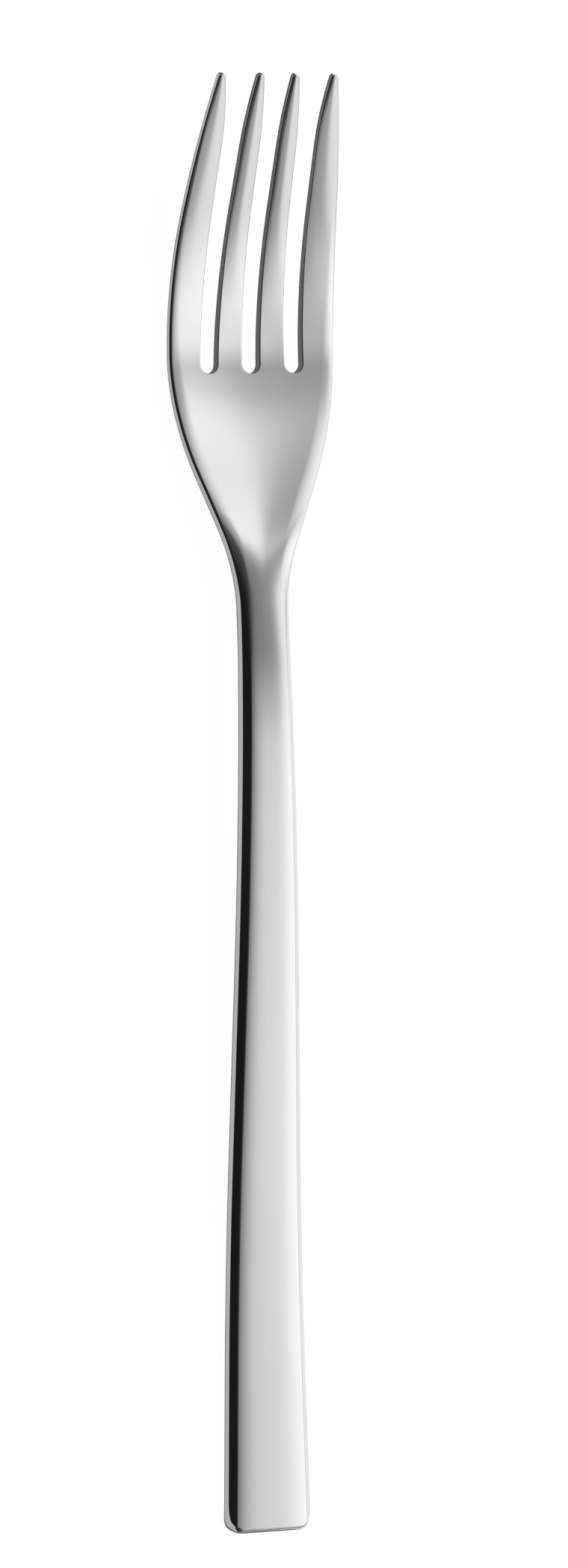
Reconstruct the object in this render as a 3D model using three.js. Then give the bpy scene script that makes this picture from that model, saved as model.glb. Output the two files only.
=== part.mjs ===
// A dessert fork with four tines, made from one blank of polished stainless steel.
// The blank is drawn as seven lengths that meet face to face at flat cuts across it.
// Millimetres. +Y runs from the butt of the handle to the tine tips, +X across, +Z up from the table.
// A place "along" the fork is measured over the table from the butt, and "across" from the middle line.

import * as THREE from "three";

// Lengths along the fork
const overallLength = 184; // butt to tine tips
const headLength = 62.4; // tips back to where the sides leave the line of the neck
const headCutLength = 59; // tips back to the cut between the neck and the head plate
const neckLength = 11; // from that cut back to the narrow end of the handle
const shoulderLength = 42.8; // tips back to where the sides reach full width
const sweepLength = 16; // tips back to the middle of the outer tines' inward sweep
const tineLength = 37.3; // tips back to the bottoms of the slots
const pointLength = 5; // tips back to where the tines draw in to their points

// Widths across the fork
const buttWidth = 11.65;
const neckWidth = 6.8;
const headWidth = 22.2;
const tipSpan = 15.9; // over the tips of the outer tines
const tipPitch = 4.65; // between the tips of the inner tines
const tipWidth = 0.9;
const innerTineWidth = 2.35; // where the point starts
const outerTineWidth = 2.65; // where the point starts
const slotWidth = 2.35; // at the round bottom of a slot
const slotPitch = 5.7; // between the middle lines of neighbouring slots

// Thicknesses, square to the blank
const handleThickness = 3;
const neckThickness = 2.8;
const headThickness = 1.8;
const tipThickness = 1;

// Side view, on the underside of the blank
const restLength = 34; // butt to where the handle leaves the table
const riseLength = 52; // from there to the start of the crest
const crestLength = 76.7; // tips back to the end of the crest
const dropLength = 60.5; // tips back to where the neck drops faster
const bellyLength = 39.7; // tips back to where the head comes down to the table
const curlLength = 27.2; // tips back to where the tines turn up
const crestHeight = 4;
const dropHeight = 2.77;
const bellyDrop = 0.19; // corners of the belly under the table, so that the eased line just reaches it
const tipHeight = 12.4;

// Forms of the section
const handleCrown = 0.34; // fall of the handle's upper face from its middle to its edges
const waistCrown = 0.33;
const neckCrown = 0.4;
const waistLength = 78; // butt to the place of the waist crown
const crownEndLength = 57; // tips back to where that fall has run out
const headDish = 0.53; // rise of the head from its middle to its edges
const dishSoftness = 8; // half width of the round bottom of the dish where the head is widest
const dishRun = 5; // length over which the dish deepens
const dishFadeLength = 30; // tips back to where the dish starts to run out
const dishEndLength = 9; // tips back to where it has run out
const innerTineCrown = 0.14;
const outerTineCrown = 0.12;
const crownRun = 25; // length over which the crown of a tine grows

// Bevel of the upper edge along the sides
const handleBevel = 1; // width
const neckBevel = 1;
const headBevel = 0.65;
const tipBevel = 0.2;
const handleSlope = 1; // fall to a step across
const headSlope = 0.22;
const handleSoftness = 0.15; // share of the bevel's width that is eased where it leaves the face
const headSoftness = 1;

// Radii of the edges
const handleRim = 0.3; // upper edge
const headRim = 0.12;
const tipRim = 0.1;
const handleEdge = 1.2; // lower edge along the outline
const headEdge = 1;
const tipEdge = 0.3;
const slotEdge = 0.3; // lower edge in the slots and at the tips
const leastWall = 0.1; // height of the flat left between the upper and the lower edge
const buttCorner = 2; // seen from above
const tipCorner = 0.4; // seen from above

// How far the eased corners of the outlines reach to each side
const longEase = 14.5;
const crestEase = 7.3;
const dropEase = 2.5;
const bellyEase = 10;
const curlEase = 11;
const taperEase = 6;
const neckEase = 4.5;
const shoulderEase = 8;
const crownEase = 3;
const dishEase = 2.5;
const dishFadeEase = 7;
const bevelEase = 8;
const pointEase = 4;
const thicknessEase = 12;

// Fineness of the faces
const roundingSteps = 3;
const flatSteps = 3;
const slotSteps = 8;
const frontSteps = 4;
const frontRun = 3; // the scalloped rows start this many slot radii behind a slot's centre
const leastFlat = 0.1; // share of a strip's width that stays between its two edges
const nearness = 0.000001; // distances closer than this count as equal
const handleStep = 6;
const headStep = 3;
const tineStep = 4;
const pointStep = 1.5;

const tipEnd = overallLength;
const slotBottom = overallLength - tineLength;
const slotRadius = slotWidth / 2;
const slotCentre = slotBottom + slotRadius;
const headCut = overallLength - headCutLength;
const handleEnd = headCut - neckLength;
const neckPlace = (handleEnd + headCut) / 2;
const slotPlaces = [-slotPitch, 0, slotPitch];

// A line of straight stretches through corners of [along, value, ease].
// Each corner is eased by a parabola that starts and ends "ease" before and after it.
function easedLine(corners) {
  const slopes = [];
  for (let i = 1; i < corners.length; i++) {
    slopes.push((corners[i][1] - corners[i - 1][1]) / (corners[i][0] - corners[i - 1][0]));
  }
  const bends = slopes.slice(1).map((slope, i) => {
    return { at: corners[i + 1][0], turn: slope - slopes[i], ease: corners[i + 1][2] };
  });
  const turned = (past, ease) => {
    if (past <= -ease) return 0;
    return past >= ease ? past : (past + ease) ** 2 / (4 * ease);
  };
  const value = (along) => {
    const start = corners[0][1] + slopes[0] * (along - corners[0][0]);
    return bends.reduce((sum, bend) => sum + bend.turn * turned(along - bend.at, bend.ease), start);
  };
  const share = (past, ease) => THREE.MathUtils.clamp((past + ease) / (2 * ease), 0, 1);
  const slope = (along) => {
    return bends.reduce((sum, bend) => sum + bend.turn * share(along - bend.at, bend.ease), slopes[0]);
  };
  return { value, slope };
}

const underside = easedLine([
  [0, 0],
  [restLength, 0, longEase],
  [restLength + riseLength, crestHeight, longEase],
  [overallLength - crestLength, crestHeight, crestEase],
  [overallLength - dropLength, dropHeight, dropEase],
  [overallLength - bellyLength, -bellyDrop, bellyEase],
  [overallLength - curlLength, -bellyDrop, curlEase],
  [tipEnd, tipHeight],
]);

const sides = easedLine([
  [0, buttWidth / 2],
  [handleEnd, neckWidth / 2, taperEase],
  [overallLength - headLength, neckWidth / 2, neckEase],
  [overallLength - shoulderLength, headWidth / 2, shoulderEase],
  [overallLength - sweepLength, headWidth / 2, sweepLength],
  [tipEnd, tipSpan / 2],
]);

// A measure that eases from the neck to the slots and then runs out to the tips
function sectionLine(atHandle, atNeck, atHead, atTips) {
  return easedLine([
    [0, atHandle],
    [neckPlace, atNeck, thicknessEase],
    [slotBottom, atHead, thicknessEase],
    [tipEnd, atTips],
  ]);
}

const thickness = sectionLine(handleThickness, neckThickness, headThickness, tipThickness);
const upperRadius = sectionLine(handleRim, handleRim, headRim, tipRim);
const outlineRadius = sectionLine(handleEdge, handleEdge, headEdge, tipEdge);

const bevelWidth = easedLine([
  [0, handleBevel],
  [handleEnd, handleBevel, bevelEase],
  [headCut, neckBevel, bevelEase],
  [overallLength - shoulderLength, headBevel, bevelEase],
  [tipEnd, tipBevel],
]);

// A measure of the bevel that eases over the neck from its size on the handle to its size on the head
function bevelLine(onHandle, onHead) {
  return easedLine([
    [0, onHandle],
    [handleEnd, onHandle, bevelEase],
    [headCut, onHead, bevelEase],
    [tipEnd, onHead],
  ]);
}

const bevelSlope = bevelLine(handleSlope, headSlope);
const bevelSoftness = bevelLine(handleSoftness, headSoftness);

const crown = easedLine([
  [0, handleCrown],
  [waistLength, waistCrown, crownEase],
  [neckPlace, neckCrown, crownEase],
  [overallLength - crownEndLength, 0, crownEase],
  [tipEnd, 0],
]);

const dishStart = overallLength - headLength;
const dish = easedLine([
  [0, 0],
  [dishStart, 0, dishEase],
  [dishStart + dishRun, headDish, dishEase],
  [overallLength - dishFadeLength, headDish, dishFadeEase],
  [overallLength - dishEndLength, 0, dishFadeEase],
  [tipEnd, 0],
]);

// Inner edges of the tines on the right, from the middle slot outwards
const pointStart = tipEnd - pointLength;
const innerMiddle = easedLine([
  [slotCentre, slotPitch / 2],
  [tipEnd, tipPitch / 2],
]);
const innerHalf = easedLine([
  [slotCentre, (slotPitch - slotWidth) / 2],
  [pointStart, innerTineWidth / 2, pointEase],
  [tipEnd, tipWidth / 2],
]);
const outerInside = easedLine([
  [slotCentre, slotPitch + slotRadius],
  [pointStart, sides.value(pointStart) - outerTineWidth, pointEase],
  [tipEnd, tipSpan / 2 - tipWidth],
]);
const innerTine = (along) => [
  innerMiddle.value(along) - innerHalf.value(along),
  innerMiddle.value(along) + innerHalf.value(along),
];
const outerTine = (along) => [outerInside.value(along), sides.value(along)];
const mirrored = (tine) => (along) => tine(along).map((edge) => -edge).reverse();

// Distance in from a side and an end that meet in a round corner
function rimDistance(fromSide, fromEnd, corner) {
  const inCorner = fromSide < corner && fromEnd < corner;
  return inCorner ? corner - Math.hypot(corner - fromSide, corner - fromEnd) : Math.min(fromSide, fromEnd);
}

// Distance in from the sides, square to them
function sideDistance(across, along) {
  return (sides.value(along) - Math.abs(across)) / Math.hypot(1, sides.slope(along));
}

// Distance in from the outline of the whole blank
const outlineDistance = (across, along) => rimDistance(sideDistance(across, along), along, buttCorner);

// How far the bevel has fallen at a place
function bevelFall(across, along) {
  const ease = bevelSoftness.value(along) * bevelWidth.value(along);
  const begun = bevelWidth.value(along) - sideDistance(across, along) + ease;
  const eased = THREE.MathUtils.clamp(begun, 0, 2 * ease) ** 2 / (4 * ease);
  return bevelSlope.value(along) * (eased + Math.max(begun - 2 * ease, 0));
}

// The radius of the lower edge along the outline, never more than the upper edge leaves room for
function lowerRadius(along) {
  const bevelDepth = bevelSlope.value(along) * bevelWidth.value(along);
  const upperEdge = crown.value(along) + bevelDepth + upperRadius.value(along);
  return Math.min(outlineRadius.value(along), thickness.value(along) - upperEdge - leastWall);
}

// How far a rounded edge has fallen at a distance in from it
function roundingFall(distance, radius) {
  const past = Math.max(radius - distance, 0);
  return radius - Math.sqrt(Math.max(radius * radius - past * past, 0));
}

// Rise of a trough from its middle line; its round bottom narrows with the cube of the head's width
function troughRise(across, halfWidth) {
  const bottom = dishSoftness * ((2 * halfWidth) / headWidth) ** 3;
  return Math.hypot(across, bottom) - bottom;
}

// The upper and lower points of the blank over a place, each set square to the underside
function pointsOver({ across, along, edge, tineFall }) {
  const outlineEdge = Math.max(outlineDistance(across, along), 0);
  const slotNearer = edge < outlineEdge - nearness;
  const lowerEdge = slotNearer ? Math.min(slotEdge, lowerRadius(along)) : lowerRadius(along);
  const half = sides.value(along);
  const bowl = (dish.value(along) * troughRise(across, half)) / troughRise(headWidth / 2, headWidth / 2);
  const crownFall = crown.value(along) * Math.abs(across / half) ** 3 + tineFall;
  const upperFall = crownFall + bevelFall(across, along) + roundingFall(edge, upperRadius.value(along));
  const square = new THREE.Vector3(0, -underside.slope(along), 1).normalize();
  const foot = new THREE.Vector3(across, along, underside.value(along));
  const upper = foot.clone().addScaledVector(square, thickness.value(along) + bowl - upperFall);
  const lower = foot.clone().addScaledVector(square, bowl + roundingFall(edge, lowerEdge));
  return { upper, lower };
}

// How far a round corner draws a side in, at a distance from the end
function cornerInset(fromEnd, corner) {
  const past = Math.max(corner - fromEnd, 0);
  return corner - Math.sqrt(Math.max(corner ** 2 - past ** 2, 0));
}

// A place on the handle, neck or head plate, with its distance in from the rim
function platePlace(across, along) {
  const fromSlots = slotPlaces.map((place) => Math.hypot(across - place, slotCentre - along) - slotRadius);
  const edge = Math.min(outlineDistance(across, along), ...fromSlots);
  return { across, along, edge: Math.max(edge, 0), tineFall: 0 };
}

// Even places from one end to the other, in a number of steps
function evenly(from, to, count) {
  return Array.from({ length: count + 1 }, (_, i) => THREE.MathUtils.lerp(from, to, i / count));
}

// Even places no further apart than a step
const spread = (from, to, step) => evenly(from, to, Math.max(1, Math.ceil((to - from) / step)));

// Places in from an edge where its form turns: on the outline the rim, the bevel and the end of the rounding,
// in a slot only the rim and the rounding
function edgeInsets(along, onOutline) {
  const rim = upperRadius.value(along);
  const bevel = bevelWidth.value(along);
  const roundingEnd = Math.max(lowerRadius(along), bevel * (1 + bevelSoftness.value(along)));
  return onOutline ? [0, Math.min(rim, bevel / 2), bevel, roundingEnd] : [0, rim / 2, rim, slotEdge];
}

// Places across a strip, close together at its two edges
function acrossStrip(left, right, along, leftOnOutline, rightOnOutline) {
  const room = ((1 - leastFlat) * (right - left)) / 2;
  const insets = [leftOnOutline, rightOnOutline].map((onOutline) => {
    const places = edgeInsets(along, onOutline);
    const squeeze = Math.min(1, room / places.at(-1));
    return places.map((place) => place * squeeze);
  });
  const flat = evenly(left + insets[0].at(-1), right - insets[1].at(-1), flatSteps).slice(1, -1);
  const nearLeft = insets[0].map((inset) => left + inset);
  const nearRight = insets[1].map((inset) => right - inset).reverse();
  return [...nearLeft, ...flat, ...nearRight];
}

// Rows of places over the handle or the neck
function barGrid(rows) {
  return rows.map((along) => {
    const half = sides.value(along) - cornerInset(along, buttCorner);
    return acrossStrip(-half, half, along, true, true).map((across) => platePlace(across, along));
  });
}

// One row of places over the head plate: the lands between the slots, and behind each slot an arc.
// The row is drawn in by "squeeze", and alongOf tells where it lies at a height of the arc.
function headRow(alongOf, squeeze) {
  const along = alongOf(0);
  const half = sides.value(along);
  const turns = evenly(Math.PI, 0, slotSteps).slice(1, -1);
  const row = [];
  for (let land = 0; land <= slotPlaces.length; land++) {
    const first = land === 0;
    const last = land === slotPlaces.length;
    const left = first ? -half : (slotPlaces[land - 1] + slotRadius) * squeeze;
    const right = last ? half : (slotPlaces[land] - slotRadius) * squeeze;
    row.push(...acrossStrip(left, right, along, first, last).map((across) => platePlace(across, along)));
    if (last) return row;
    for (const turn of turns) {
      const across = (slotPlaces[land] + slotRadius * Math.cos(turn)) * squeeze;
      row.push(platePlace(across, alongOf(slotRadius * Math.sin(turn))));
    }
  }
}

// Rows of places over the head plate: straight at the neck, scalloped round the slots at the front
function headGrid() {
  const joinLine = slotCentre - frontRun * slotRadius;
  const back = spread(headCut, joinLine, headStep).map((along) => {
    return headRow(() => along, sides.value(along) / sides.value(joinLine));
  });
  const front = evenly(0, Math.PI / 2, frontSteps).slice(1).map((turn) => {
    return headRow((scallop) => THREE.MathUtils.lerp(joinLine, slotCentre - scallop, Math.sin(turn)), 1);
  });
  return [...back, ...front];
}

// Rows of places over one tine, given its two edges and its crown
function tineGrid(edgesAt, tineCrown) {
  const lastRow = tipEnd - tipCorner;
  const turns = evenly(0, Math.PI / 2, roundingSteps).slice(1);
  const rows = [
    ...spread(slotCentre, pointStart, tineStep),
    ...spread(pointStart, lastRow, pointStep).slice(1),
    ...turns.map((turn) => lastRow + tipCorner * Math.sin(turn)),
  ];
  return rows.map((along) => {
    const [left, right] = edgesAt(along);
    const inset = cornerInset(tipEnd - along, tipCorner);
    const crownRise = tineCrown * THREE.MathUtils.smoothstep(along, slotCentre, slotCentre + crownRun);
    const onOutline = [left, right].map((side) => Math.abs(side) > sides.value(along) - nearness);
    return acrossStrip(left + inset, right - inset, along, ...onOutline).map((across) => {
      const edge = rimDistance(Math.min(across - left, right - across), tipEnd - along, tipCorner);
      const share = (2 * across - left - right) / (right - left);
      return { across, along, edge: Math.max(edge, 0), tineFall: crownRise * share ** 2 };
    });
  });
}

// A closed solid over a grid of places: upper face, lower face and the wall round both
function solidOver(grid) {
  const rowCount = grid.length;
  const columnCount = grid[0].length;
  const pairs = grid.flat().map(pointsOver);
  const points = [...pairs.map((pair) => pair.upper), ...pairs.map((pair) => pair.lower)];
  const upper = (row, column) => row * columnCount + column;
  const lower = (row, column) => rowCount * columnCount + upper(row, column);
  const index = [];
  const quad = (a, b, c, d) => index.push(a, b, c, a, c, d);
  for (let row = 0; row < rowCount - 1; row++) {
    for (let column = 0; column < columnCount - 1; column++) {
      const ring = [[row, column], [row, column + 1], [row + 1, column + 1], [row + 1, column]];
      quad(...ring.map((place) => upper(...place)));
      quad(...ring.map((place) => lower(...place)).reverse());
    }
  }
  const rim = [];
  for (let column = 0; column < columnCount - 1; column++) rim.push([0, column]);
  for (let row = 0; row < rowCount - 1; row++) rim.push([row, columnCount - 1]);
  for (let column = columnCount - 1; column > 0; column--) rim.push([rowCount - 1, column]);
  for (let row = rowCount - 1; row > 0; row--) rim.push([row, 0]);
  rim.forEach((from, i) => {
    const to = rim[(i + 1) % rim.length];
    quad(lower(...from), lower(...to), upper(...to), upper(...from));
  });
  const geometry = new THREE.BufferGeometry().setFromPoints(points).setIndex(index);
  geometry.computeVertexNormals();
  return geometry;
}

function steelLength(name, grid) {
  const polishedSteel = new THREE.MeshStandardMaterial({ color: 0xc9c9c9, roughness: 0.12, metalness: 1 });
  const mesh = new THREE.Mesh(solidOver(grid), polishedSteel);
  mesh.name = name;
  return mesh;
}

const buttTurns = evenly(0, Math.PI / 2, roundingSteps + 1);
const buttRows = buttTurns.map((turn) => buttCorner * (1 - Math.cos(turn)));
const handleRows = [...buttRows, ...spread(buttCorner, handleEnd, handleStep).slice(1)];

const fork = new THREE.Group();
fork.name = "dessert_fork";
fork.add(
  steelLength("handle", barGrid(handleRows)),
  steelLength("neck", barGrid(spread(handleEnd, headCut, headStep))),
  steelLength("head_plate", headGrid()),
  steelLength("tine_outer_left", tineGrid(mirrored(outerTine), outerTineCrown)),
  steelLength("tine_inner_left", tineGrid(mirrored(innerTine), innerTineCrown)),
  steelLength("tine_inner_right", tineGrid(innerTine, innerTineCrown)),
  steelLength("tine_outer_right", tineGrid(outerTine, outerTineCrown)),
);

// The origin lies on the table, under the middle of the fork's length
const outline = new THREE.Box3().setFromObject(fork);
fork.position.set(0, -(outline.min.y + outline.max.y) / 2, -outline.min.z);

export default fork;
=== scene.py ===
import math
import bpy
import numpy as np
from mathutils import Matrix, Vector


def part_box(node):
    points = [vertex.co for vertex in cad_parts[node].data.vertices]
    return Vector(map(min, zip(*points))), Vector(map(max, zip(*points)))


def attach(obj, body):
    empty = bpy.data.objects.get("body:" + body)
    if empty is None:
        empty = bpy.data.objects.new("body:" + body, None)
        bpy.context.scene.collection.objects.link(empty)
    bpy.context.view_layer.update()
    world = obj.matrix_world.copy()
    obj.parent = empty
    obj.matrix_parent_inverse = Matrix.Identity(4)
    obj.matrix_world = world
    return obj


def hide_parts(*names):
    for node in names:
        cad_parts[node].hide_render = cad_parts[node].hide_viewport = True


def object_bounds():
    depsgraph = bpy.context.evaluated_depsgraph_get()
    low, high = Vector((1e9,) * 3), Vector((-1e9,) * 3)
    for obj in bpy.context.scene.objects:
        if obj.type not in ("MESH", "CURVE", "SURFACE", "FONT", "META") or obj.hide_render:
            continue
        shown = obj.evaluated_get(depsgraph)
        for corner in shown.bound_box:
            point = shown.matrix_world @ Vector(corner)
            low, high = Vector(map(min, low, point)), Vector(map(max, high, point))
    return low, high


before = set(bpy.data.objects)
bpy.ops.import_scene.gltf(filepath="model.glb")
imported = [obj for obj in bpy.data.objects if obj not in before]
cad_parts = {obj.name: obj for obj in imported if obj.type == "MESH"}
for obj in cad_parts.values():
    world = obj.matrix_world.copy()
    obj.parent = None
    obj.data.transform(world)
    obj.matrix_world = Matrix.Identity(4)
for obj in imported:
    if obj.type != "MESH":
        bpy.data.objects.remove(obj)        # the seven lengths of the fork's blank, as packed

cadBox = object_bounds()
print("frame loaded:", len(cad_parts), "lengths of steel")

# Sizes are in millimetres. "along" runs over the table from the butt, "across" from the middle line.
mm = 0.001
origin = np.array([0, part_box("handle")[0].y, cadBox[0].z])    # under the middle of the butt, on the table
tolerance = 1e-6          # two distances that differ by less count as one
differenceStep = 0.004    # way to each side when a slope is taken
edgeShare = 0.45          # most of a strip's width that the rows of one edge may take


# A line through corners of (along, value, ease): straight stretches, each corner eased by a parabola.
# value = first value + first slope * run + sum of turn * eased run past the corner; slope is its derivative
def easedLine(*corners):
    places, values = np.array([corner[:2] for corner in corners], float).T
    eases = np.array([corner[2] for corner in corners[1:-1]], float)
    slopes = np.diff(values) / np.diff(places)
    turns = np.diff(slopes)

    def begun(along):
        return np.asarray(along, float)[..., None] - places[1:-1] + eases

    def value(along):
        eased = np.clip(begun(along), 0, 2 * eases) ** 2 / (4 * eases)
        straight = np.maximum(begun(along) - 2 * eases, 0)
        return values[0] + slopes[0] * (along - places[0]) + (eased + straight) @ turns

    def slope(along):
        return slopes[0] + np.clip(begun(along) / (2 * eases), 0, 1) @ turns

    return value, slope


# Lengths that the outlines share, and the places along the fork that follow from them
blank = {
    "overallLength": 184.0,
    "headCutLength": 59.0,    # tips back to the cut between the neck and the head
    "neckLength": 11.0,       # from that cut back to the narrow end of the handle
    "tineLength": 37.3,       # tips back to the bottoms of the slots
    "pointLength": 5.0,       # tips back to where the tines draw in
    "slotWidth": 2.35,
    "slotPitch": 5.7,
}
tipEnd = blank["overallLength"]
headCut = tipEnd - blank["headCutLength"]
handleEnd = headCut - blank["neckLength"]
neckPlace = (handleEnd + headCut) / 2
slotRadius = blank["slotWidth"] / 2
slotBottom = tipEnd - blank["tineLength"]
slotCentre = slotBottom + slotRadius
pointStart = tipEnd - blank["pointLength"]
slotPlaces = np.array([-1, 0, 1]) * blank["slotPitch"]

# The underside seen from the side: flat at the butt, up to the crest, down to the belly, up the tines
sideView = {
    "restLength": 34.0,
    "riseLength": 52.0,
    "crestLength": 76.7,
    "dropLength": 60.5,       # tips back to where the neck drops faster
    "bellyLength": 39.7,
    "curlLength": 27.2,
    "crestHeight": 4.0,
    "dropHeight": 2.77,
    "bellyDrop": 0.19,        # corners of the belly under the table, so that the eased line just reaches it
    "tipHeight": 12.4,
    "longEase": 14.5,
    "crestEase": 7.3,
    "dropEase": 2.5,
    "bellyEase": 10.0,
    "curlEase": 11.0,
}
underside, undersideSlope = easedLine(
    (0, 0),
    (sideView["restLength"], 0, sideView["longEase"]),
    (sideView["restLength"] + sideView["riseLength"], sideView["crestHeight"], sideView["longEase"]),
    (tipEnd - sideView["crestLength"], sideView["crestHeight"], sideView["crestEase"]),
    (tipEnd - sideView["dropLength"], sideView["dropHeight"], sideView["dropEase"]),
    (tipEnd - sideView["bellyLength"], -sideView["bellyDrop"], sideView["bellyEase"]),
    (tipEnd - sideView["curlLength"], -sideView["bellyDrop"], sideView["curlEase"]),
    (tipEnd, sideView["tipHeight"]),
)

# The outline seen from above: half of the width along the fork
topView = {
    "headLength": 62.4,
    "shoulderLength": 42.8,
    "sweepLength": 16.0,
    "buttWidth": 11.65,
    "neckWidth": 6.8,
    "headWidth": 22.2,
    "tipSpan": 15.9,
    "taperEase": 6.0,
    "neckEase": 4.5,
    "shoulderEase": 8.0,
}
dishStart = tipEnd - topView["headLength"]
shoulder = tipEnd - topView["shoulderLength"]
sides, sidesSlope = easedLine(
    (0, topView["buttWidth"] / 2),
    (handleEnd, topView["neckWidth"] / 2, topView["taperEase"]),
    (dishStart, topView["neckWidth"] / 2, topView["neckEase"]),
    (shoulder, topView["headWidth"] / 2, topView["shoulderEase"]),
    (tipEnd - topView["sweepLength"], topView["headWidth"] / 2, topView["sweepLength"]),
    (tipEnd, topView["tipSpan"] / 2),
)

# The section across the blank: its thickness, the edges, the crown and the dish. Along the outline the upper
# edge is bevelled and the lower one is well rounded; the slots and the tips are only broken at their edges.
section = {
    "handleThickness": 3.0,
    "neckThickness": 2.8,
    "headThickness": 1.8,
    "tipThickness": 1.0,
    "handleEdge": 1.2,        # radius of the lower edge along the outline
    "headEdge": 1.0,
    "tipEdge": 0.3,
    "slotEdge": 0.3,          # radius of the lower edge in the slots and at the tips
    "handleBevel": 1.0,       # width of the bevel on the upper edge
    "neckBevel": 0.7,
    "rootBevel": 1.1,         # where the neck opens into the head
    "headBevel": 0.95,
    "tipBevel": 0.05,
    "handleSlope": 1.0,       # fall of the bevel to a step across
    "headSlope": 0.22,
    "handleSoftness": 0.15,   # eased share of the bevel where it leaves the face
    "headSoftness": 1.0,
    "softLead": 4.0,          # how far the width and softness ease before the slope
    "softEase": 5.0,
    "rootLength": 56.0,       # tips back to where the bevel is widest
    "bevelEase": 8.0,
    "buttRim": 1.0,           # radius of the upper edge
    "handleRim": 0.3,
    "headRim": 0.45,
    "tipRim": 0.1,
    "slotRim": 0.12,
    "buttRimRun": 2.5,
    "buttRimEase": 1.2,
    "leastWall": 0.1,         # flat left between the upper and the lower edge
    "buttCorner": 2.0,
    "handleCrown": 0.34,
    "waistCrown": 0.33,
    "neckCrown": 0.33,
    "neckRound": 0.07,        # fall of the neck's rounder middle
    "waistLength": 78.0,      # butt to the place of the waist crown
    "crownEndLength": 57.0,   # tips back to where the crown has run out
    "crownEase": 3.0,
    "headDish": 0.53,
    "dishFadeLength": 30.0,   # tips back to where the dish starts to run out
    "dishEndLength": 9.0,     # tips back to where it has run out
    "dishFadeEase": 7.0,
    "dishSoftness": 8.0,      # half width of the round bottom of the dish where the head is widest
    "dishRun": 5.0,
    "dishEase": 2.5,
    "thicknessEase": 12.0,
}


# A measure of the section that eases from the neck to the slots and then runs out to the tips
def sectionLine(handleName, neckName, headName, tipName):
    return easedLine(
        (0, section[handleName]),
        (neckPlace, section[neckName], section["thicknessEase"]),
        (slotBottom, section[headName], section["thicknessEase"]),
        (tipEnd, section[tipName]),
    )[0]


thickness = sectionLine("handleThickness", "neckThickness", "headThickness", "tipThickness")
edgeRadius = sectionLine("handleEdge", "handleEdge", "headEdge", "tipEdge")

# The upper edge is roundest at the butt and on the head
rimRadius, _ = easedLine(
    (0, section["buttRim"]),
    (section["buttRimRun"], section["handleRim"], section["buttRimEase"]),
    (neckPlace, section["handleRim"], section["thicknessEase"]),
    (slotBottom, section["headRim"], section["thicknessEase"]),
    (tipEnd, section["tipRim"]),
)

# The bevel is narrowest on the neck and widest where the neck opens into the head. Its slope and its softness
# ease over the neck from the handle's value to the head's
bevelWidth, _ = easedLine(
    (0, section["handleBevel"]),
    (handleEnd - section["softLead"], section["handleBevel"], section["softEase"]),
    (neckPlace, section["neckBevel"], section["crownEase"]),
    (tipEnd - section["rootLength"], section["rootBevel"], section["softEase"]),
    (shoulder, section["headBevel"], section["bevelEase"]),
    (tipEnd, section["tipBevel"]),
)
bevelSlope, _ = easedLine(
    (0, section["handleSlope"]),
    (handleEnd, section["handleSlope"], section["bevelEase"]),
    (headCut, section["headSlope"], section["bevelEase"]),
    (tipEnd, section["headSlope"]),
)
bevelSoftness, _ = easedLine(
    (0, section["handleSoftness"]),
    (handleEnd - section["softLead"], section["handleSoftness"], section["softEase"]),
    (headCut - section["softLead"], section["headSoftness"], section["softEase"]),
    (tipEnd, section["headSoftness"]),
)

# The crown and the neck's rounder middle run out where the head starts; the dish runs out along the tines
crown, _ = easedLine(
    (0, section["handleCrown"]),
    (section["waistLength"], section["waistCrown"], section["crownEase"]),
    (neckPlace, section["neckCrown"], section["crownEase"]),
    (tipEnd - section["crownEndLength"], 0, section["crownEase"]),
    (tipEnd, 0),
)
neckRound, _ = easedLine(
    (0, 0),
    (handleEnd - section["softLead"], 0, section["crownEase"]),
    (neckPlace, section["neckRound"], section["crownEase"]),
    (tipEnd - section["crownEndLength"], 0, section["crownEase"]),
    (tipEnd, 0),
)
dish, _ = easedLine(
    (0, 0),
    (dishStart, 0, section["dishEase"]),
    (dishStart + section["dishRun"], section["headDish"], section["dishEase"]),
    (tipEnd - section["dishFadeLength"], section["headDish"], section["dishFadeEase"]),
    (tipEnd - section["dishEndLength"], 0, section["dishFadeEase"]),
    (tipEnd, 0),
)


# Distance in from a side and an end that meet in a round corner
def cornerDistance(fromSide, fromEnd, corner):
    inCorner = (fromSide < corner) & (fromEnd < corner)
    rounded = corner - np.hypot(corner - fromSide, corner - fromEnd)
    return np.where(inCorner, rounded, np.minimum(fromSide, fromEnd))


# Distance in from the sides, square to them
def sideDistance(across, along):
    return (sides(along) - np.abs(across)) / np.hypot(1, sidesSlope(along))


# Distance in from the outline of the whole blank = least of the sides and the butt
def outlineDistance(across, along):
    return cornerDistance(sideDistance(across, along), along, section["buttCorner"])


# Radii of the upper and the lower edge, smaller where the slots are nearer than the outline. The lower one is
# no more than the upper edge leaves room for
def edgeRadii(across, along, distance):
    upperEdge = crown(along) + bevelSlope(along) * bevelWidth(along) + rimRadius(along)
    lower = np.minimum(edgeRadius(along), thickness(along) - upperEdge - section["leastWall"])
    slotNearer = distance < outlineDistance(across, along) - tolerance
    return (
        np.where(slotNearer, np.minimum(rimRadius(along), section["slotRim"]), rimRadius(along)),
        np.where(slotNearer, np.minimum(lower, section["slotEdge"]), lower),
    )


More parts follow.
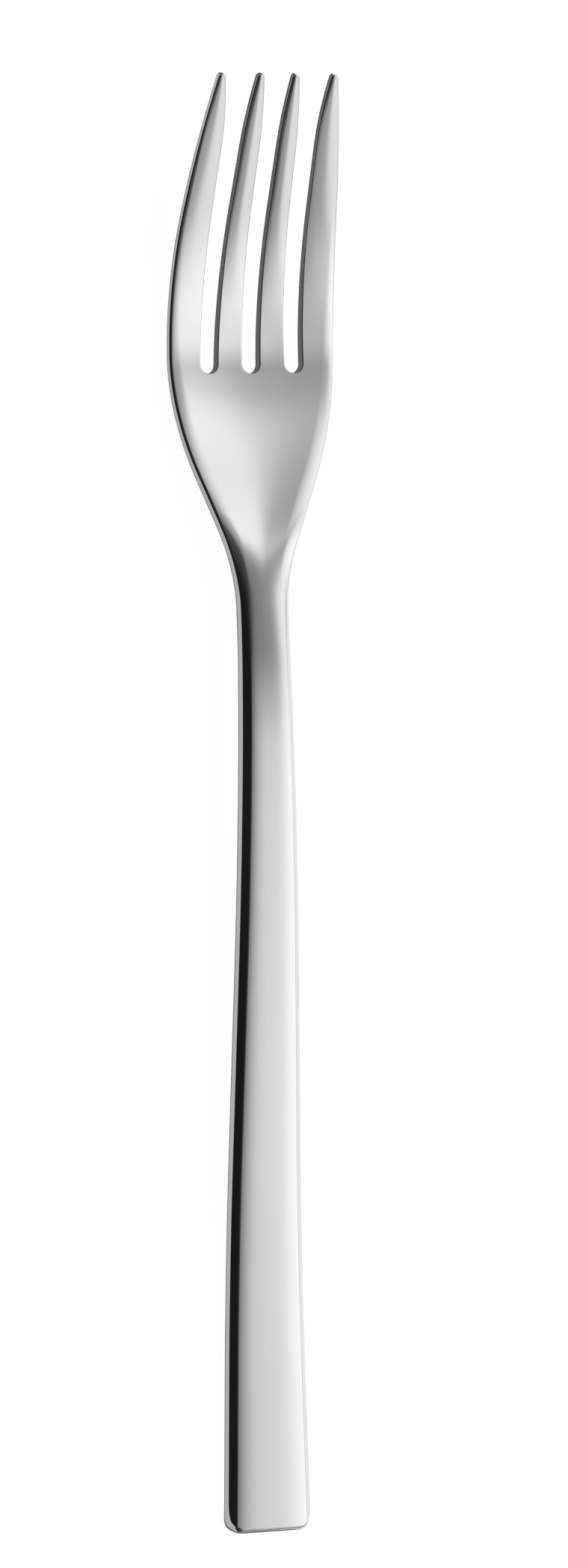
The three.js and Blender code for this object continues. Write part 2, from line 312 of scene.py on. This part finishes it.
# Fall of the bevel = slope * way past its inner side, eased by a parabola where it leaves the face
def bevelFall(across, along):
    ease = bevelSoftness(along) * bevelWidth(along)
    begun = bevelWidth(along) - sideDistance(across, along) + ease
    eased = np.clip(begun, 0, 2 * ease) ** 2 / (4 * ease)
    straight = np.maximum(begun - 2 * ease, 0)
    return bevelSlope(along) * (eased + straight)


# Rise of the dish = hyperbola across, flat at the middle line and straight towards the sides, its round
# bottom narrowing with the cube of the width
def troughRise(across, halfWidth):
    bottom = section["dishSoftness"] * (2 * halfWidth / topView["headWidth"]) ** 3
    return np.hypot(across, bottom) - bottom


# Heights of both faces over the underside line, before the edges are rounded. lower = dish * its rise across;
# upper = thickness + lower - crown * cube of the share across - neck's round * its square - falls of the
# bevel and of a tine's crown
def faceHeights(across, along, tineFall):
    widest = topView["headWidth"] / 2
    lower = dish(along) * troughRise(across, sides(along)) / troughRise(widest, widest)
    share = np.abs(across / sides(along))
    crownFall = crown(along) * share ** 3 + neckRound(along) * share ** 2
    falls = crownFall + bevelFall(across, along) + tineFall(across, along)
    return np.stack([thickness(along) + lower - falls, lower])


# Derivatives of a function of (across, along) = central differences over a small step
def gradients(function, across, along):
    step = differenceStep
    byAcross = (function(across + step, along) - function(across - step, along)) / (2 * step)
    byAlong = (function(across, along + step) - function(across, along - step)) / (2 * step)
    return byAcross, byAlong


# Each vector over its own length
def unit(vectors):
    return vectors / np.linalg.norm(vectors, axis=-1, keepdims=True)


# Both faces of the blank over a grid of places, with the true normals of the surface.
# entered = share of the edge rounding that a place is past, the sine of the surface's turn there;
# point = foot on the underside line + square * height, where the height falls by radius * (1 - cosine);
# normal = cosine * normal of the plain face + sine * way out over the rim
def faces(across, along, rimDistance, tineFall):
    slope = undersideSlope(along)
    stretch = np.hypot(1, slope)
    zero = np.zeros_like(along)
    square = np.stack([zero, -slope, zero + 1], -1) / stretch[..., None]
    alongWay = np.stack([zero, zero + 1, slope], -1) / stretch[..., None]
    distance = np.maximum(rimDistance(across, along), 0)
    heights = faceHeights(across, along, tineFall)
    foot = np.stack([across, along, underside(along)], -1)
    bend = gradients(lambda x, y: undersideSlope(y), across, along)[1]
    slopes = gradients(lambda x, y: faceHeights(x, y, tineFall), across, along)
    inward = gradients(rimDistance, across, along)
    points, normals = [], []
    for face, side, radius in zip((0, 1), (1, -1), edgeRadii(across, along, distance)):
        entered = np.clip(1 - distance / radius, 0, 1)
        cosine = np.sqrt(1 - entered ** 2)
        height = heights[face] - side * radius * (1 - cosine)
        run = stretch - height * bend / stretch ** 2      # length of surface to a step along
        plain = side * unit(np.stack([-slopes[0][face], -slopes[1][face] / run, zero + 1], -1))
        out = unit(np.stack([-inward[0], -inward[1] / run, zero], -1))
        turned = unit(cosine[..., None] * plain + entered[..., None] * out)
        points.append(foot + square * height[..., None])
        normals.append(turned[..., :1] * [1, 0, 0] + turned[..., 1:2] * alongWay + turned[..., 2:] * square)
    return np.stack(points), np.stack(normals), distance


# How far a round corner draws a side in = radius - root of (radius squared - rest of the way squared)
def cornerInset(fromEnd, corner):
    return corner - np.sqrt(np.maximum(corner ** 2 - np.maximum(corner - fromEnd, 0) ** 2, 0))


# Rows of places across a strip: 1 - cosine spacing over the two edges, even between them
def acrossStrip(left, right, along, roundSteps, flatSteps):
    left, right = left[:, None], right[:, None]
    reach = np.minimum(edgeRadius(along)[:, None], edgeShare * (right - left))
    near = reach * (1 - np.cos(np.linspace(0, np.pi / 2, roundSteps + 1)))
    even = np.linspace(0, 1, flatSteps + 1)[1:-1]
    flat = left + reach + (right - left - 2 * reach) * even
    return np.hstack([left + near, flat, right - near[:, ::-1]])


# Even places from start to end, no further apart than the step
def spread(start, end, step):
    return np.linspace(start, end, max(1, math.ceil((end - start) / step)) + 1)


# A new object from points in metres, linked to the scene
def addObject(name, points, quads, material):
    mesh = bpy.data.meshes.new(name)
    mesh.from_pydata(points.tolist(), [], quads)
    mesh.materials.append(material)
    added = bpy.data.objects.new(name, mesh)
    bpy.context.scene.collection.objects.link(added)
    return added


# A closed piece of steel over a grid: upper face, lower face turned over, and the wall round both
def steelPiece(name, node, across, along, rimDistance, tineFall=lambda x, y: 0 * x):
    points, normals, distance = faces(across, along, rimDistance, tineFall)
    count = across.size
    upper = np.arange(count).reshape(across.shape)
    ring = np.stack([upper[:-1, :-1], upper[:-1, 1:], upper[1:, 1:], upper[1:, :-1]], -1).reshape(-1, 4)
    rim = np.concatenate([upper[0, :-1], upper[:-1, -1], upper[-1, :0:-1], upper[:0:-1, 0]])
    following = np.roll(rim, -1)
    wall = np.stack([rim + count, following + count, following, rim], -1)
    quads = np.concatenate([ring, ring[:, ::-1] + count, wall])
    piece = addObject(name, origin + mm * points.reshape(-1, 3), quads.tolist(), steel)
    mesh = piece.data
    mesh.shade_smooth()
    mesh.normals_split_custom_set_from_vertices(normals.reshape(-1, 3).tolist())
    fromRim = mesh.attributes.new("fromRim", "FLOAT", "POINT")
    fromRim.data.foreach_set("value", np.tile(distance.ravel(), 2).astype(np.float32))
    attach(piece, "root")
    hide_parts(node)
    print("made", name, "with", len(quads), "faces")


# A value taken from the range low to high to the range toLow to toHigh, held at both ends
def ranged(tree, value, low, high, toLow, toHigh, easing="LINEAR"):
    ranger = tree.nodes.new("ShaderNodeMapRange")
    ranger.interpolation_type = easing
    ranger.inputs["From Min"].default_value = low
    ranger.inputs["From Max"].default_value = high
    ranger.inputs["To Min"].default_value = toLow
    ranger.inputs["To Max"].default_value = toHigh
    tree.links.new(value, ranger.inputs["Value"])
    return ranger.outputs["Result"]


# Two values joined by a named operation, such as a sum or a product
def joined(tree, operation, first, second):
    joiner = tree.nodes.new("ShaderNodeMath")
    joiner.operation = operation
    tree.links.new(first, joiner.inputs[0])
    tree.links.new(second, joiner.inputs[1])
    return joiner.outputs["Value"]


# The X, Y and Z of a place on an object or of a direction in the world
def placeParts(tree, kind):
    place = tree.nodes.new("ShaderNodeTexCoord")
    parts = tree.nodes.new("ShaderNodeSeparateXYZ")
    tree.links.new(place.outputs[kind], parts.inputs["Vector"])
    return parts.outputs


polishedSteel = {
    "tint": (0.70, 0.70, 0.70, 1),
    "roughness": 0.06,
    "lineScale": (5000, 40, 5000),    # polishing lines, far finer across than along, per metre
    "lineDetail": 3,
    "lineRange": (0.35, 0.65),        # part of the noise that changes the roughness
    "lineRoughness": 0.03,
    "lineHeight": 0.0000006,          # metres
    "waveScale": (180, 60, 180),      # slow unevenness left by the polishing wheel
    "waveDetail": 1,
    "waveHeight": 0.000008,
    "smearScale": (90, 30, 90),       # faint handling marks
    "smearDetail": 4,
    "smearRange": (0.55, 0.75),
    "smearRoughness": 0.05,
    "wearReach": 0.5,                 # millimetres in from the rim
    "wearRoughness": 0.05,
}


# Roughness = base + polishing lines + handling marks + wear at the rim; bump = lines + slow waves
def makeSteel():
    settings = polishedSteel
    material = bpy.data.materials.new("polishedSteel")
    material.use_nodes = True
    tree = material.node_tree
    nodes, links = tree.nodes, tree.links
    shader = nodes["Principled BSDF"]
    shader.inputs["Base Color"].default_value = settings["tint"]
    shader.inputs["Metallic"].default_value = 1
    place = nodes.new("ShaderNodeTexCoord")

    def noise(scale, detail):
        mapping = nodes.new("ShaderNodeMapping")
        mapping.inputs["Scale"].default_value = scale
        links.new(place.outputs["Object"], mapping.inputs["Vector"])
        texture = nodes.new("ShaderNodeTexNoise")
        texture.inputs["Scale"].default_value = 1
        texture.inputs["Detail"].default_value = detail
        links.new(mapping.outputs["Vector"], texture.inputs["Vector"])
        return texture.outputs["Fac"]

    def bump(height, distance, under=None):
        bumper = nodes.new("ShaderNodeBump")
        bumper.inputs["Distance"].default_value = distance
        links.new(height, bumper.inputs["Height"])
        if under:
            links.new(under, bumper.inputs["Normal"])
        return bumper.outputs["Normal"]

    lines = noise(settings["lineScale"], settings["lineDetail"])
    waves = noise(settings["waveScale"], settings["waveDetail"])
    smears = noise(settings["smearScale"], settings["smearDetail"])
    fromRim = nodes.new("ShaderNodeAttribute")
    fromRim.attribute_name = "fromRim"
    base = settings["roughness"]
    lineRough = ranged(tree, lines, *settings["lineRange"], base, base + settings["lineRoughness"])
    smearRough = ranged(tree, smears, *settings["smearRange"], 0, settings["smearRoughness"])
    wearRough = ranged(tree, fromRim.outputs["Fac"], 0, settings["wearReach"], settings["wearRoughness"], 0)
    marks = joined(tree, "ADD", lineRough, smearRough)
    links.new(joined(tree, "ADD", marks, wearRough), shader.inputs["Roughness"])
    uneven = bump(lines, settings["lineHeight"], bump(waves, settings["waveHeight"]))
    links.new(uneven, shader.inputs["Normal"])
    return material


steel = makeSteel()
print("steel finished")


# Distance in from the rim of the handle, neck or head = least of the outline and the slots
def plateDistance(across, along):
    fromSlots = np.hypot(across[..., None] - slotPlaces, (slotCentre - along)[..., None]) - slotRadius
    return np.minimum(outlineDistance(across, along), fromSlots.min(-1))


handle = {"buttSteps": 12, "rowStep": 1.0, "roundSteps": 18, "flatSteps": 32}


# Rows over the handle or the neck, as wide as the sides less the round corners of the butt
def barRows(rows):
    half = sides(rows) - cornerInset(rows, section["buttCorner"])
    across = acrossStrip(-half, half, rows, handle["roundSteps"], handle["flatSteps"])
    return across, np.broadcast_to(rows[:, None], across.shape)


buttTurns = np.linspace(0, np.pi / 2, handle["buttSteps"] + 1)
buttRows = section["buttCorner"] * (1 - np.cos(buttTurns))
handleRows = np.concatenate([buttRows, spread(section["buttCorner"], handleEnd, handle["rowStep"])[1:]])
steelPiece("forkHandle", "handle", *barRows(handleRows), plateDistance)

neck = {"rowStep": 0.5}
steelPiece("forkNeck", "neck", *barRows(spread(handleEnd, headCut, neck["rowStep"])), plateDistance)

head = {"rowStep": 0.5, "roundSteps": 12, "flatSteps": 8, "slotSteps": 32, "frontSteps": 18, "frontRun": 3.0}


# Rows over the head: four lands and, between them, the arcs behind the three slots.
# rows are the places of the lands, squeeze draws the row in, arcRows gives the place of each arc column
def headRows(rows, squeeze, arcRows):
    turns = np.linspace(np.pi, 0, head["slotSteps"] + 1)[1:-1]
    across, along = [], []
    for land in range(len(slotPlaces) + 1):
        left = -sides(rows) if land == 0 else (slotPlaces[land - 1] + slotRadius) * squeeze
        right = sides(rows) if land == len(slotPlaces) else (slotPlaces[land] - slotRadius) * squeeze
        strip = acrossStrip(left, right, rows, head["roundSteps"], head["flatSteps"])
        across.append(strip)
        along.append(np.broadcast_to(rows[:, None], strip.shape))
        if land < len(slotPlaces):
            across.append(squeeze[:, None] * (slotPlaces[land] + slotRadius * np.cos(turns)))
            along.append(arcRows(slotRadius * np.sin(turns)))
    return np.hstack(across), np.hstack(along)


# Behind the join line the rows are straight; in front of it they bend to the round slots, where they are
# close together
def headGrid():
    joinLine = slotCentre - head["frontRun"] * slotRadius
    back = spread(headCut, joinLine, head["rowStep"])
    front = np.sin(np.linspace(0, np.pi / 2, head["frontSteps"] + 1))[1:]
    straight = headRows(
        back,
        sides(back) / sides(joinLine),
        lambda arc: np.broadcast_to(back[:, None], (back.size, arc.size)),
    )
    bent = headRows(
        joinLine + front * (slotCentre - joinLine),
        np.ones_like(front),
        lambda arc: joinLine + front[:, None] * (slotCentre - arc - joinLine),
    )
    return [np.vstack(pair) for pair in zip(straight, bent)]


steelPiece("forkHead", "head_plate", *headGrid(), plateDistance)

tines = {
    "tipPitch": 4.65,
    "tipWidth": 0.9,
    "innerWidth": 2.35,       # where the point starts
    "outerWidth": 2.65,
    "pointEase": 4.0,
    "tipCorner": 0.4,
    "innerCrown": 0.14,
    "outerCrown": 0.12,
    "crownRun": 25.0,
    "rowStep": 0.5,
    "pointStep": 0.2,
    "roundSteps": 10,
    "flatSteps": 12,
}
innerMiddle, _ = easedLine((slotCentre, blank["slotPitch"] / 2), (tipEnd, tines["tipPitch"] / 2))
innerHalf, _ = easedLine(
    (slotCentre, (blank["slotPitch"] - blank["slotWidth"]) / 2),
    (pointStart, tines["innerWidth"] / 2, tines["pointEase"]),
    (tipEnd, tines["tipWidth"] / 2),
)
outerInside, _ = easedLine(
    (slotCentre, blank["slotPitch"] + slotRadius),
    (pointStart, sides(pointStart) - tines["outerWidth"], tines["pointEase"]),
    (tipEnd, topView["tipSpan"] / 2 - tines["tipWidth"]),
)


# Edges of an inner tine = its middle less and plus its half width
def innerEdges(along):
    return innerMiddle(along) - innerHalf(along), innerMiddle(along) + innerHalf(along)


# Edges of an outer tine = its inside line and the side of the blank
def outerEdges(along):
    return outerInside(along), sides(along)


# One tine between its two edges; fall of its crown = crown * smooth step along * square of the share across
def tine(name, node, edges, crownHeight):
    lastRow = tipEnd - tines["tipCorner"]
    cornerTurns = np.linspace(0, np.pi / 2, tines["roundSteps"] + 1)[1:]
    rows = np.concatenate([
        spread(slotCentre, pointStart, tines["rowStep"]),
        spread(pointStart, lastRow, tines["pointStep"])[1:],
        lastRow + tines["tipCorner"] * np.sin(cornerTurns),
    ])

    def distance(across, along):
        left, right = edges(along)
        return cornerDistance(np.minimum(across - left, right - across), tipEnd - along, tines["tipCorner"])

    def fall(across, along):
        left, right = edges(along)
        grown = np.clip((along - slotCentre) / tines["crownRun"], 0, 1)
        share = (2 * across - left - right) / (right - left)
        return crownHeight * grown ** 2 * (3 - 2 * grown) * share ** 2

    inset = cornerInset(tipEnd - rows, tines["tipCorner"])
    left, right = edges(rows)
    across = acrossStrip(left + inset, right - inset, rows, tines["roundSteps"], tines["flatSteps"])
    along = np.broadcast_to(rows[:, None], across.shape)
    steelPiece(name, node, across, along, distance, fall)


# Edges on the other side of the middle line = both negated and in the other order
def mirrored(edges):
    return lambda along: tuple(-edge for edge in reversed(edges(along)))


tine("outerTineLeft", "tine_outer_left", mirrored(outerEdges), tines["outerCrown"])
tine("innerTineLeft", "tine_inner_left", mirrored(innerEdges), tines["innerCrown"])
tine("innerTineRight", "tine_inner_right", innerEdges, tines["innerCrown"])
tine("outerTineRight", "tine_outer_right", outerEdges, tines["outerCrown"])


# A material without gloss that glows white, and its shader
def matte(name, tint):
    material = bpy.data.materials.new(name)
    material.use_nodes = True
    shader = material.node_tree.nodes["Principled BSDF"]
    shader.inputs["Base Color"].default_value = tint
    shader.inputs["Emission Color"].default_value = (1, 1, 1, 1)
    shader.inputs["Roughness"].default_value = 1
    shader.inputs["Specular IOR Level"].default_value = 0
    return material, shader


# Hides an object from everything but reflections
def onlyReflected(card):
    card.visible_camera = False
    card.visible_diffuse = False
    card.visible_shadow = False


# The table, in metres. The camera sees seenGlow; in the fork's reflections the table glows from leftGlow to
# rightGlow, painted shade on the left and painted light on the right, which meet over turn to both sides of
# the middle line
floor = {
    "size": 12.0,
    "tint": (0.3, 0.3, 0.3, 1),
    "seenGlow": 0.95,
    "leftGlow": 0.5,
    "rightGlow": 0.95,
    "turn": 0.008,
}


# A plain pale table: one square, mostly glowing white, so that only contact shows a shadow.
# Glow = seen glow for the camera, else left glow to right glow across: painted shade on the left of the table
# and painted light on the right, seen only in reflections
def makeFloor():
    half = floor["size"] / 2
    across, along = np.meshgrid([-half, half], [-half, half])
    corners = np.stack([across, along, np.full_like(across, origin[2])], -1).reshape(-1, 3)
    paper, shader = matte("whiteTable", floor["tint"])
    tree = paper.node_tree
    parts = placeParts(tree, "Object")
    # Painted light and shade: the table's glow in reflections, darker on the left and brighter on the right
    lit = ranged(tree, parts["X"], -floor["turn"], floor["turn"], floor["leftGlow"], floor["rightGlow"])
    path = tree.nodes.new("ShaderNodeLightPath")
    glow = tree.nodes.new("ShaderNodeMapRange")
    glow.inputs["To Max"].default_value = floor["seenGlow"]
    tree.links.new(lit, glow.inputs["To Min"])
    tree.links.new(path.outputs["Is Camera Ray"], glow.inputs["Value"])
    tree.links.new(glow.outputs["Result"], shader.inputs["Emission Strength"])
    table = addObject("table", corners, [(0, 1, 3, 2)], paper)


makeFloor()

# Painted shade: a dark, faintly glowing strip under the fork, seen only in reflections
shade = {
    "lift": 0.02,             # over the table
    "lean": 0.38,             # reach on the left to a step of height
    "wall": 1.1,              # height of the wall's middle over the underside
    "pastButt": 20.0,
    "pastTips": 30.0,
    "rowStep": 1.0,
    "tint": (0, 0, 0, 1),
    "glow": 0.15,
}


# Painted shade under the fork, seen only in the fork's reflections: a dark strip on the table between the two
# sides and past both ends, in place of the fork's own shadow. On the left it reaches out by lean * height
# of the wall's middle
def makeShade():
    rows = spread(-shade["pastButt"], tipEnd + shade["pastTips"], shade["rowStep"])
    nearest = np.clip(rows, 0, tipEnd)
    half = sides(nearest)
    across = np.stack([-half - shade["lean"] * (underside(nearest) + shade["wall"]), half], -1)
    along = np.broadcast_to(rows[:, None], across.shape)
    places = np.stack([across, along, np.full(across.shape, shade["lift"])], -1).reshape(-1, 3)
    left = np.arange(0, across.size - 2, 2)
    quads = np.stack([left, left + 1, left + 3, left + 2], -1)
    dark, shader = matte("shade", shade["tint"])
    shader.inputs["Emission Strength"].default_value = shade["glow"]
    strip = addObject("shade", origin + mm * places, quads.tolist(), dark)
    onlyReflected(strip)


makeShade()

# A thin flag over the neck that holds back some light, seen only in reflections.
# acrossFade and alongFade: where it starts, is full, starts to end and has ended, in millimetres
flag = {
    "height": 30.0,
    "reach": (-10.0, 30.0, 95.0, 145.0),    # left, right, towards the butt, towards the tips
    "acrossFade": (-4.0, 2.0, 7.0, 16.0),
    "alongFade": (99.0, 118.0, 125.0, 131.5),
    "strength": 0.42,
}


# Share held back = strength * smooth rise and fall across * smooth rise and fall along; the rest goes through
def makeFlag():
    left, right, low, high = flag["reach"]
    across, along = np.meshgrid([left, right], [low, high])
    places = np.stack([across, along, np.full_like(across, flag["height"])], -1).reshape(-1, 3)
    gauze = bpy.data.materials.new("flag")
    gauze.use_nodes = True
    tree = gauze.node_tree
    nodes, links = tree.nodes, tree.links
    nodes.remove(nodes["Principled BSDF"])
    parts = placeParts(tree, "Object")

    def risen(axis, offset, fades):
        start, full, ending, ended = (offset + mm * fade for fade in fades)
        rise = ranged(tree, parts[axis], start, full, 0, 1, "SMOOTHSTEP")
        fall = ranged(tree, parts[axis], ending, ended, 1, 0, "SMOOTHSTEP")
        return joined(tree, "MULTIPLY", rise, fall)

    onAcross = risen("X", origin[0], flag["acrossFade"])
    onAlong = risen("Y", origin[1], flag["alongFade"])
    held = ranged(tree, joined(tree, "MULTIPLY", onAcross, onAlong), 0, 1, 0, flag["strength"])
    dark = nodes.new("ShaderNodeEmission")
    dark.inputs["Strength"].default_value = 0
    clear = nodes.new("ShaderNodeBsdfTransparent")
    mix = nodes.new("ShaderNodeMixShader")
    links.new(held, mix.inputs["Fac"])
    links.new(clear.outputs["BSDF"], mix.inputs[1])
    links.new(dark.outputs["Emission"], mix.inputs[2])
    links.new(mix.outputs["Shader"], nodes["Material Output"].inputs["Surface"])
    card = addObject("flag", origin + mm * places, [(0, 1, 3, 2)], gauze)
    onlyReflected(card)


makeFlag()

# Soft studio light, as (angle in degrees, share) stops: across to the right of straight up, along towards the
# tips, and a soft gap between two lights
studio = {
    "across": (
        (-90, 0.01), (-45, 0.012), (-25, 0.025), (0, 0.065), (5, 0.115), (11, 0.345), (16, 0.555),
        (21, 0.715), (26, 0.85), (32, 0.96), (40, 1), (55, 1), (72, 0.88), (90, 0.8),
    ),
    "along": (
        (-90, 0.15), (-75, 0.2), (-60, 0.62), (-50, 0.85), (-36, 0.95), (-22, 1), (-8, 1), (20, 0.92),
        (28, 0.7), (38, 0.25), (55, 0.4), (90, 0.75),
    ),
    "gapAcross": (
        (-90, 0.3), (5, 0.3), (8, 0.35), (11, 0.45), (14, 0.62), (17, 0.8), (21, 0.92), (25, 0.85),
        (30, 0.5), (38, 0.35), (90, 0.3),
    ),
    "gapAlong": (
        (-90, 0.6), (-50, 0.6), (-36, 0.36), (-22, 0.08), (-16, 0.05), (-10, 0.07), (-4, 0.1), (0, 0.25),
        (4, 0.42), (6, 0.5), (8, 0.49), (10, 0.47), (12, 0.44), (13, 0.37), (15, 0.13), (18, 0), (90, 0),
    ),
    "gain": 1.4,
    "backdrop": 1.05,
}


# Light = gain * across * along * (1 - gap across * gap along), each by its angle from straight up.
# The backdrop that the camera sees is plain white
def makeStudio():
    world = bpy.data.worlds.new("studio")
    world.use_nodes = True
    tree = world.node_tree
    nodes, links = tree.nodes, tree.links
    parts = placeParts(tree, "Generated")

    def byAngle(axis, stops):
        angle = joined(tree, "ARCTAN2", parts[axis], parts["Z"])
        ramp = nodes.new("ShaderNodeValToRGB")
        ramp.color_ramp.interpolation = "CARDINAL"
        elements = ramp.color_ramp.elements
        while len(elements) < len(stops):
            elements.new(1)
        for element, (degrees, brightness) in zip(elements, stops):
            element.position = degrees / 180 + 0.5
            element.color = (brightness, brightness, brightness, 1)
        links.new(ranged(tree, angle, -math.pi / 2, math.pi / 2, 0, 1), ramp.inputs["Fac"])
        return ramp.outputs["Color"]

    gap = joined(tree, "MULTIPLY", byAngle("X", studio["gapAcross"]), byAngle("Y", studio["gapAlong"]))
    lights = joined(tree, "MULTIPLY", byAngle("X", studio["across"]), byAngle("Y", studio["along"]))
    rest = nodes.new("ShaderNodeMath")
    rest.operation = "SUBTRACT"
    rest.inputs[0].default_value = 1
    links.new(gap, rest.inputs[1])
    light = nodes["Background"]
    links.new(joined(tree, "MULTIPLY", lights, rest.outputs["Value"]), light.inputs["Color"])
    light.inputs["Strength"].default_value = studio["gain"]
    backdrop = nodes.new("ShaderNodeBackground")
    backdrop.inputs["Strength"].default_value = studio["backdrop"]
    path = nodes.new("ShaderNodeLightPath")
    mix = nodes.new("ShaderNodeMixShader")
    links.new(path.outputs["Is Camera Ray"], mix.inputs["Fac"])
    links.new(light.outputs["Background"], mix.inputs[1])
    links.new(backdrop.outputs["Background"], mix.inputs[2])
    links.new(mix.outputs["Shader"], nodes["World Output"].inputs["Surface"])
    bpy.context.scene.world = world


makeStudio()
bpy.context.scene.view_settings.view_transform = "Standard"
print("table and light set")

# The camera stands over the fork, tipped towards its left side, and the fork's middle falls on aimPixel
camera = {
    "tilt": 21.0,             # degrees from straight above, to the left
    "pitch": -2.5,
    "roll": -0.891,
    "distance": 900.0,
    "aim": (0, 92.0, 3.0),    # across, along and above the table
    "aimPixel": (349.7, 1081.3),
    "photoSize": (760, 2099),
    "pixelsPerMillimetre": 10.608,
    "sensor": 36.0,
    "clip": (0.01, 100),      # metres
}


# Back = the way from the fork to the camera; right and up follow from it and from the fork's length,
# rolled about it. The camera is slid in its own plane until the aim falls on its pixel.
def makeCamera():
    tilt, pitch, roll = (math.radians(camera[name]) for name in ("tilt", "pitch", "roll"))
    back = Vector((-math.sin(tilt) * math.cos(pitch), -math.sin(pitch), math.cos(tilt) * math.cos(pitch)))
    level = Vector((0, 1, 0)).cross(back).normalized()
    upright = back.cross(level)
    right = math.cos(roll) * level + math.sin(roll) * upright
    up = math.cos(roll) * upright - math.sin(roll) * level
    width, height = camera["photoSize"]
    scale = camera["pixelsPerMillimetre"]
    fromLeft, fromTop = camera["aimPixel"]
    slide = (width / 2 - fromLeft) / scale * right + (fromTop - height / 2) / scale * up
    aim = Vector(origin) + mm * Vector(camera["aim"])
    lens = bpy.data.cameras.new("camera")
    lens.sensor_width = camera["sensor"]
    lens.lens = camera["sensor"] * scale * camera["distance"] / height
    lens.clip_start, lens.clip_end = camera["clip"]
    eye = bpy.data.objects.new("camera", lens)
    turn = Matrix((right, up, back)).transposed().to_4x4()
    eye.matrix_world = Matrix.Translation(aim + mm * (slide + camera["distance"] * back)) @ turn
    bpy.context.scene.collection.objects.link(eye)
    bpy.context.scene.camera = eye


makeCamera()
print("camera set")
